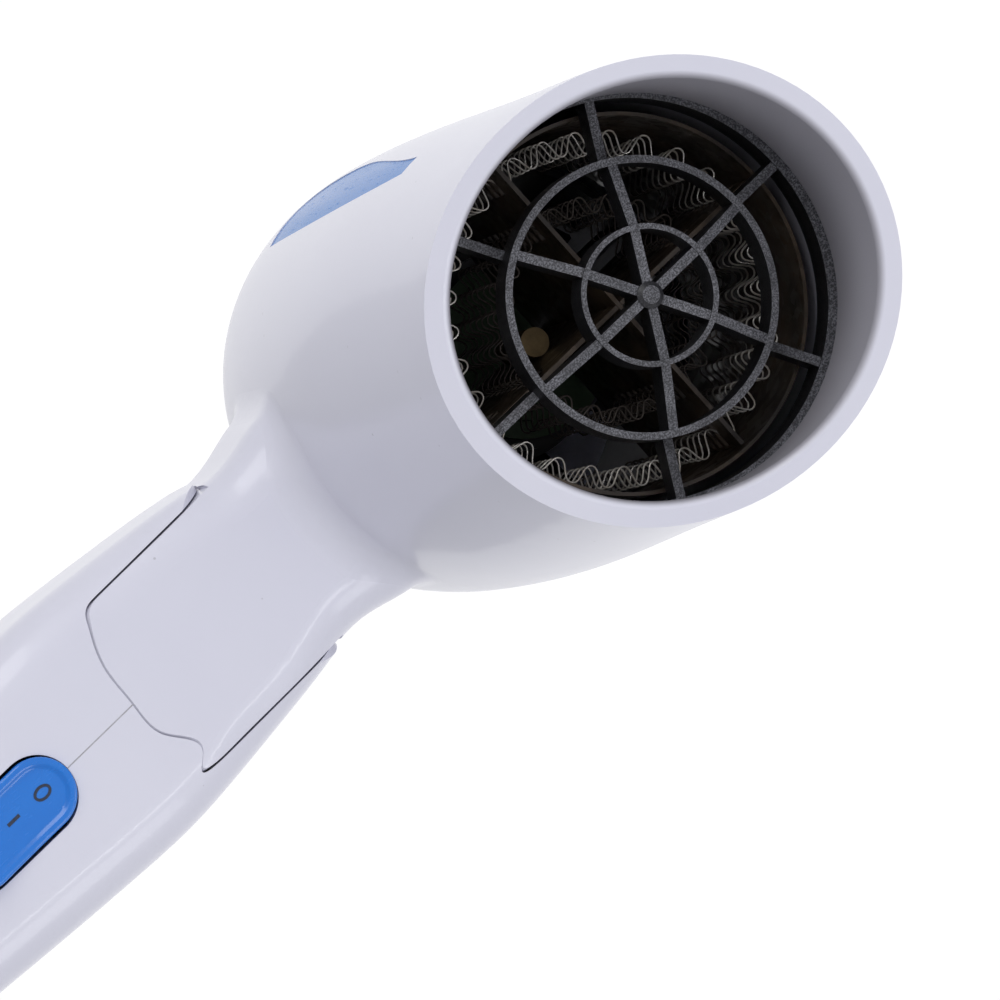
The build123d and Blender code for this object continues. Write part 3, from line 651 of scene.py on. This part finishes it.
inward = np.concatenate(((0.0,), RIM_ROUND * (1 - np.cos(np.linspace(0, np.pi / 2, ROUND_STEPS))),
                         np.linspace(RIM_WIDTH, RIM_WIDTH + SLOPE, SLOPE_STEPS),
                         np.linspace(FACE_FROM, CAP_HALF_WIDTH, FACE_STEPS)))[:, None]
across = (CAP_HALF_WIDTH - inward) * np.cos(turn)
along = (CAP_HALF_WIDTH - inward) * np.sin(turn) + centre
left_of_round = RIM_ROUND - np.clip(inward, 0, RIM_ROUND)
over_rim = np.sqrt(np.clip(RIM_ROUND ** 2 - left_of_round ** 2, 0, None)) - RIM_ROUND
down = np.clip((inward - RIM_WIDTH) / SLOPE, 0, 1)
height = rim_height(along) + over_rim - SUNK * down ** 2 * (3 - 2 * down)
height[0] = CAP_FOOT
add_piece("rocker_cap", [(tipped(height, across, along), "shrunk")], switch_blue, "switch",
          ("switch_rocker",))

# %% [markdown]
# ## Marks on the rocker
# A long ring, one bar and two bars are printed along the rocker, for off, low and high. A picture could
# carry them, but printed ink has a crisp edge at any size when it is a mesh. Each mark is a thin flat ribbon
# whose middle line lies just on the face.

# %% Switch marks
INK_DEEP, INK_PALE, INK_THICK = (0.012, 0.018, 0.035), (0.030, 0.045, 0.085), 0.05
RING_HALF_WIDTH, RING_HALF_LENGTH, RING_AT, RING_LINE = 0.8, 1.2, 6.3, 0.4
BAR_HALF_LENGTH, BAR_LINE, BARS_AT = 1.1, 0.48, ((0, 0.8), (-0.6, -4.7), (0.6, -4.7))


def ribbon(across, along, width, loop):
    """A closed strip of the width, a little over the face, along a line on it."""
    half = width / 2
    profile = np.array(((-half, -INK_THICK), (half, -INK_THICK), (half, INK_THICK), (-half, INK_THICK)))
    line = tipped(rim_height(along) - SUNK, across, along)
    lift = np.array((np.cos(TIP), 0.0, -np.sin(TIP)))
    return carried(line, profile, lift, loop), "looped" if loop else "capped"


def ink_writing(desk):
    patchy = desk.noise(0.6, 3.0)
    return {"Base Color": desk.mix(patchy, INK_DEEP, INK_PALE), "Roughness": 0.35 + 0.2 * patchy}


ring = np.linspace(0, 2 * np.pi, 48, endpoint=False)
bar = np.linspace(-BAR_HALF_LENGTH, BAR_HALF_LENGTH, 9)
marks = [ribbon(RING_HALF_WIDTH * np.cos(ring), RING_AT + RING_HALF_LENGTH * np.sin(ring), RING_LINE, True)]
marks += [ribbon(side + 0 * bar, level + bar, BAR_LINE, False) for side, level in BARS_AT]
add_piece("switch_marks", marks, finish("mark_ink", ink_writing), "switch", smooth=False)
